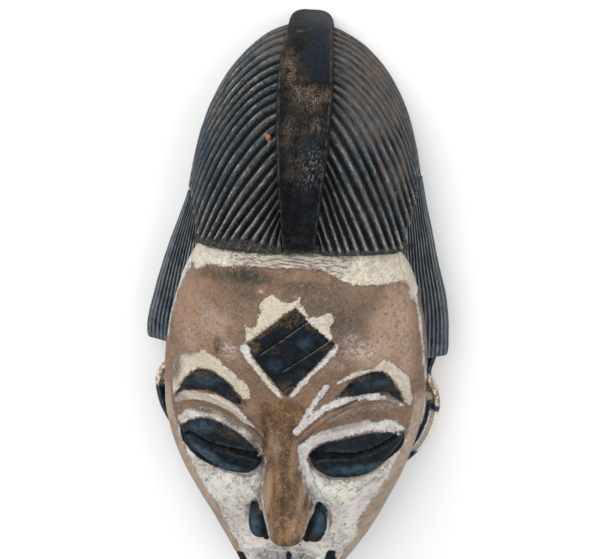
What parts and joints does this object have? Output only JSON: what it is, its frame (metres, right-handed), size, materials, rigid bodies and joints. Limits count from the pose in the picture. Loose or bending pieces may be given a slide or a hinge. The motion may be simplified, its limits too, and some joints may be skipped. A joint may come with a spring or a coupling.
{
  "type": "carved wooden face mask",
  "caption": "Tall carved wooden face mask, hollow behind, with a fluted domed coiffure, raised crest, grooved side tresses, hooded eyes and a painted face.",
  "frame": {"origin": "middle of the mask's outline on the plane of the back rim", "axes": "+Z out of the face, +Y from the chin to the crown, +X to the right-hand side seen from the front"},
  "size_m": [0.1783, 0.3514, 0.0947],
  "materials": {
    "painted_wood": "worn hand-painted wood: brown face, white kaolin, blue-black paint, charred black hair, bare wood inside"
  },
  "bodies": {
    "root": {"mask": "painted_wood"}
  },
  "joints": []
}
